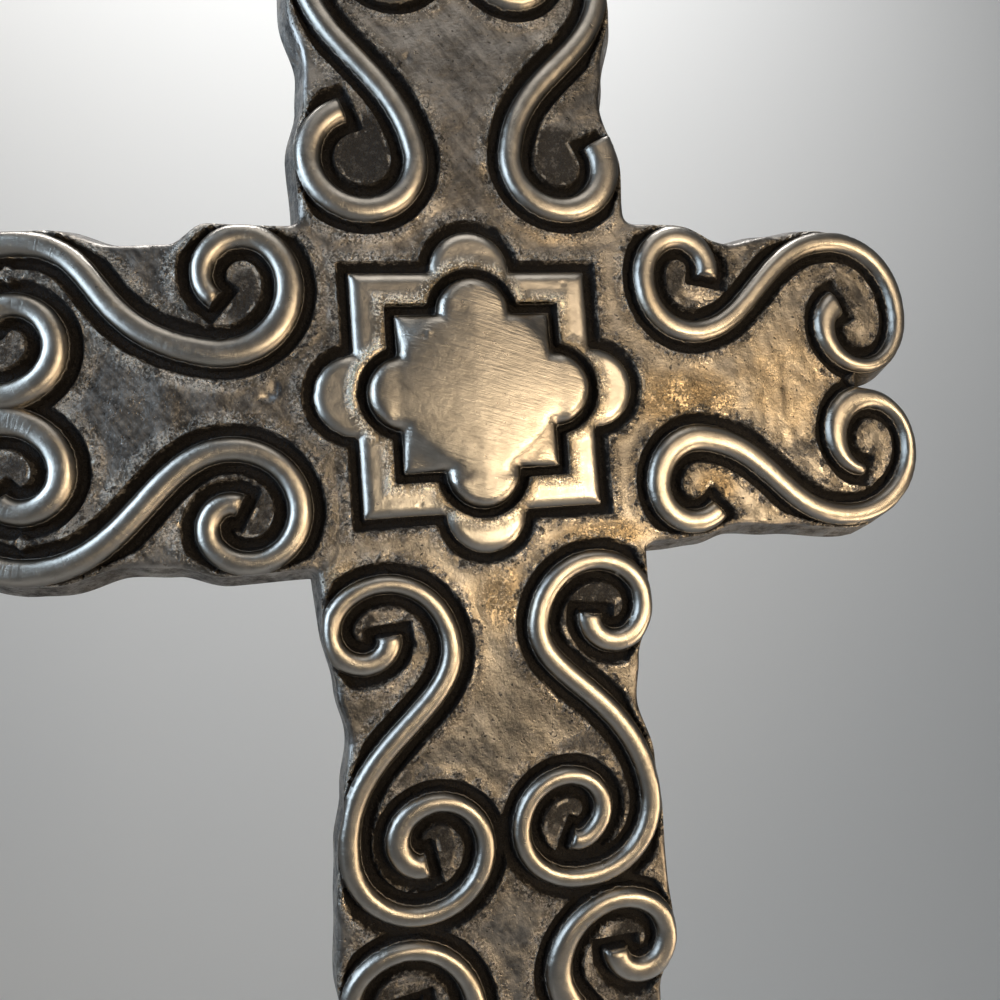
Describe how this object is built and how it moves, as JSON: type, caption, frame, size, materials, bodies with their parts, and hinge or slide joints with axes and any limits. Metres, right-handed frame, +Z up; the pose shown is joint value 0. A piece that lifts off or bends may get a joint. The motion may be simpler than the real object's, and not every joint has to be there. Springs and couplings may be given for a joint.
{
  "type": "metal wall cross",
  "caption": "Cast metal wall cross with wavy drafted edges, S-shaped scrolls in relief on every arm and an eight-point rosette where the arms meet.",
  "frame": {"origin": "on the flat back, on the upper arm's middle line, 100 mm above the rosette's centre, where the cross hangs", "axes": "+Z up along the long arm, +X to the right seen from the front, -Y out of the front, the flat back in the plane y = 0"},
  "size_m": [0.2541, 0.0114, 0.3554],
  "materials": {
    "cast_metal": "satin cast metal: bars and rosette rubbed bright, ground mottled grey brown and pitted, grooves nearly black"
  },
  "bodies": {
    "root": {"wall_cross": "cast_metal"}
  },
  "joints": []
}
